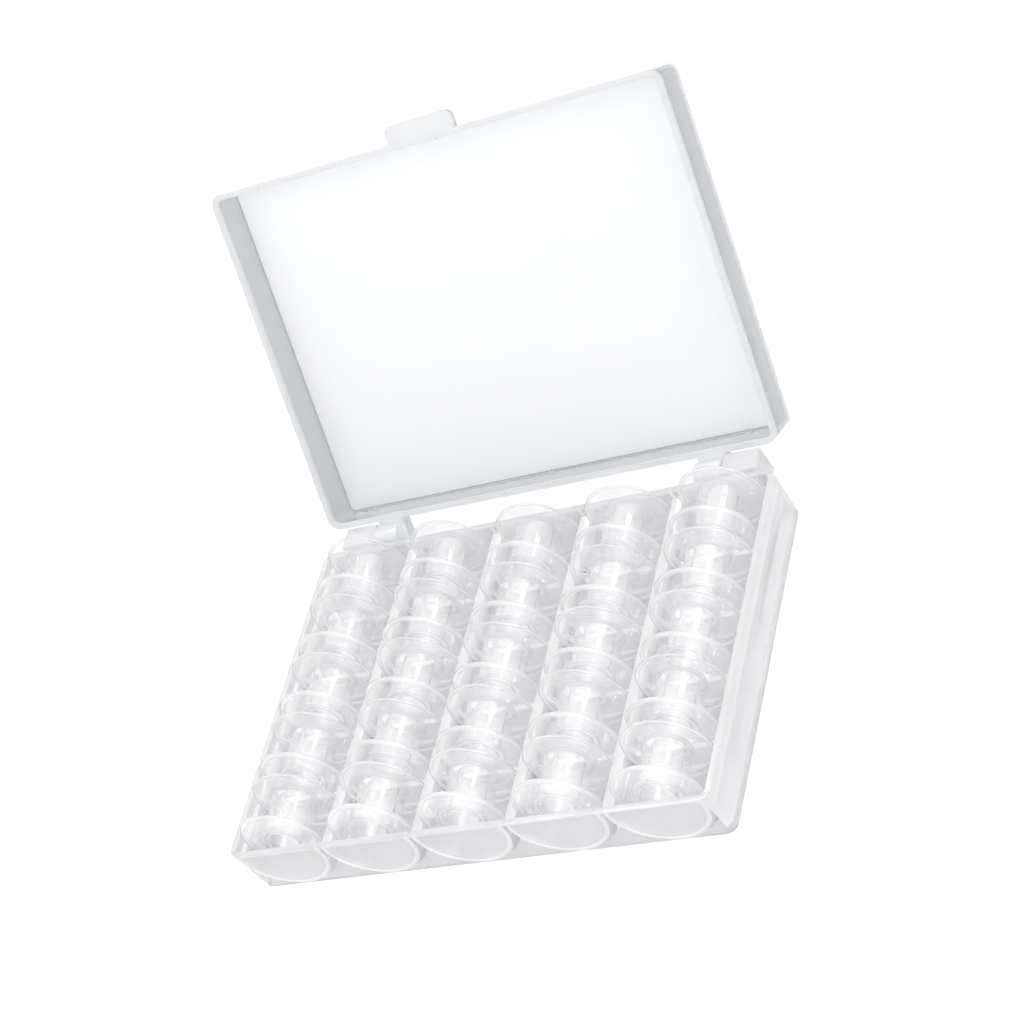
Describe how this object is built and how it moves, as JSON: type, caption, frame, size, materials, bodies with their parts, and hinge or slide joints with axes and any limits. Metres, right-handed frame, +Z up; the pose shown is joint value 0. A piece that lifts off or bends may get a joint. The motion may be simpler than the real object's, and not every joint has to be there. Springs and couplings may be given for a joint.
{
  "type": "bobbin box",
  "caption": "Flat clear box with a hinged lid and a white card in it, holding clear sewing machine bobbins on edge in round-bottomed troughs.",
  "frame": {"origin": "middle of the tray's footprint, at its underside", "axes": "+Z up, -Y towards the front with the lid's thumb tab, +Y towards the hinge, +X to the right seen from the front"},
  "size_m": [0.122, 0.1445, 0.0907],
  "materials": {
    "clear_tray": "clear polypropylene, slightly milky, polished outside",
    "clear_lid": "clear polypropylene, slightly milky, polished",
    "white_card": "smooth white paper card",
    "clear_bobbin": "clear injection-moulded styrene, glossy"
  },
  "bodies": {
    "tray": {"tray": "clear_tray"},
    "lid": {"lid": "clear_lid", "card": "white_card"},
    "bobbin_r1c1": {"bobbin_r1c1": "clear_bobbin"},
    "bobbin_r1c2": {"bobbin_r1c2": "clear_bobbin"},
    "bobbin_r1c3": {"bobbin_r1c3": "clear_bobbin"},
    "bobbin_r1c4": {"bobbin_r1c4": "clear_bobbin"},
    "bobbin_r1c5": {"bobbin_r1c5": "clear_bobbin"},
    "bobbin_r2c1": {"bobbin_r2c1": "clear_bobbin"},
    "bobbin_r2c2": {"bobbin_r2c2": "clear_bobbin"},
    "bobbin_r2c3": {"bobbin_r2c3": "clear_bobbin"},
    "bobbin_r2c4": {"bobbin_r2c4": "clear_bobbin"},
    "bobbin_r2c5": {"bobbin_r2c5": "clear_bobbin"},
    "bobbin_r3c1": {"bobbin_r3c1": "clear_bobbin"},
    "bobbin_r3c2": {"bobbin_r3c2": "clear_bobbin"},
    "bobbin_r3c3": {"bobbin_r3c3": "clear_bobbin"},
    "bobbin_r3c4": {"bobbin_r3c4": "clear_bobbin"},
    "bobbin_r3c5": {"bobbin_r3c5": "clear_bobbin"},
    "bobbin_r4c1": {"bobbin_r4c1": "clear_bobbin"},
    "bobbin_r4c2": {"bobbin_r4c2": "clear_bobbin"},
    "bobbin_r4c3": {"bobbin_r4c3": "clear_bobbin"},
    "bobbin_r4c4": {"bobbin_r4c4": "clear_bobbin"},
    "bobbin_r4c5": {"bobbin_r4c5": "clear_bobbin"},
    "bobbin_r5c1": {"bobbin_r5c1": "clear_bobbin"},
    "bobbin_r5c2": {"bobbin_r5c2": "clear_bobbin"},
    "bobbin_r5c3": {"bobbin_r5c3": "clear_bobbin"},
    "bobbin_r5c4": {"bobbin_r5c4": "clear_bobbin"},
    "bobbin_r5c5": {"bobbin_r5c5": "clear_bobbin"}
  },
  "joints": [
    {"name": "lid_hinge", "type": "hinge", "parent": "tray", "child": "lid", "pos_m": [0, 0.0461, 0.0119], "axis": [-1, 0, 0], "range_deg": [-121, 0]},
    {"name": "lift_r1c1", "type": "slide", "parent": "tray", "child": "bobbin_r1c1", "axis": [0, 0, 1], "range_m": [0, 0.025]},
    {"name": "lift_r1c2", "type": "slide", "parent": "tray", "child": "bobbin_r1c2", "axis": [0, 0, 1], "range_m": [0, 0.025]},
    {"name": "lift_r1c3", "type": "slide", "parent": "tray", "child": "bobbin_r1c3", "axis": [0, 0, 1], "range_m": [0, 0.025]},
    {"name": "lift_r1c4", "type": "slide", "parent": "tray", "child": "bobbin_r1c4", "axis": [0, 0, 1], "range_m": [0, 0.025]},
    {"name": "lift_r1c5", "type": "slide", "parent": "tray", "child": "bobbin_r1c5", "axis": [0, 0, 1], "range_m": [0, 0.025]},
    {"name": "lift_r2c1", "type": "slide", "parent": "tray", "child": "bobbin_r2c1", "axis": [0, 0, 1], "range_m": [0, 0.025]},
    {"name": "lift_r2c2", "type": "slide", "parent": "tray", "child": "bobbin_r2c2", "axis": [0, 0, 1], "range_m": [0, 0.025]},
    {"name": "lift_r2c3", "type": "slide", "parent": "tray", "child": "bobbin_r2c3", "axis": [0, 0, 1], "range_m": [0, 0.025]},
    {"name": "lift_r2c4", "type": "slide", "parent": "tray", "child": "bobbin_r2c4", "axis": [0, 0, 1], "range_m": [0, 0.025]},
    {"name": "lift_r2c5", "type": "slide", "parent": "tray", "child": "bobbin_r2c5", "axis": [0, 0, 1], "range_m": [0, 0.025]},
    {"name": "lift_r3c1", "type": "slide", "parent": "tray", "child": "bobbin_r3c1", "axis": [0, 0, 1], "range_m": [0, 0.025]},
    {"name": "lift_r3c2", "type": "slide", "parent": "tray", "child": "bobbin_r3c2", "axis": [0, 0, 1], "range_m": [0, 0.025]},
    {"name": "lift_r3c3", "type": "slide", "parent": "tray", "child": "bobbin_r3c3", "axis": [0, 0, 1], "range_m": [0, 0.025]},
    {"name": "lift_r3c4", "type": "slide", "parent": "tray", "child": "bobbin_r3c4", "axis": [0, 0, 1], "range_m": [0, 0.025]},
    {"name": "lift_r3c5", "type": "slide", "parent": "tray", "child": "bobbin_r3c5", "axis": [0, 0, 1], "range_m": [0, 0.025]},
    {"name": "lift_r4c1", "type": "slide", "parent": "tray", "child": "bobbin_r4c1", "axis": [0, 0, 1], "range_m": [0, 0.025]},
    {"name": "lift_r4c2", "type": "slide", "parent": "tray", "child": "bobbin_r4c2", "axis": [0, 0, 1], "range_m": [0, 0.025]},
    {"name": "lift_r4c3", "type": "slide", "parent": "tray", "child": "bobbin_r4c3", "axis": [0, 0, 1], "range_m": [0, 0.025]},
    {"name": "lift_r4c4", "type": "slide", "parent": "tray", "child": "bobbin_r4c4", "axis": [0, 0, 1], "range_m": [0, 0.025]},
    {"name": "lift_r4c5", "type": "slide", "parent": "tray", "child": "bobbin_r4c5", "axis": [0, 0, 1], "range_m": [0, 0.025]},
    {"name": "lift_r5c1", "type": "slide", "parent": "tray", "child": "bobbin_r5c1", "axis": [0, 0, 1], "range_m": [0, 0.025]},
    {"name": "lift_r5c2", "type": "slide", "parent": "tray", "child": "bobbin_r5c2", "axis": [0, 0, 1], "range_m": [0, 0.025]},
    {"name": "lift_r5c3", "type": "slide", "parent": "tray", "child": "bobbin_r5c3", "axis": [0, 0, 1], "range_m": [0, 0.025]},
    {"name": "lift_r5c4", "type": "slide", "parent": "tray", "child": "bobbin_r5c4", "axis": [0, 0, 1], "range_m": [0, 0.025]},
    {"name": "lift_r5c5", "type": "slide", "parent": "tray", "child": "bobbin_r5c5", "axis": [0, 0, 1], "range_m": [0, 0.025]}
  ]
}
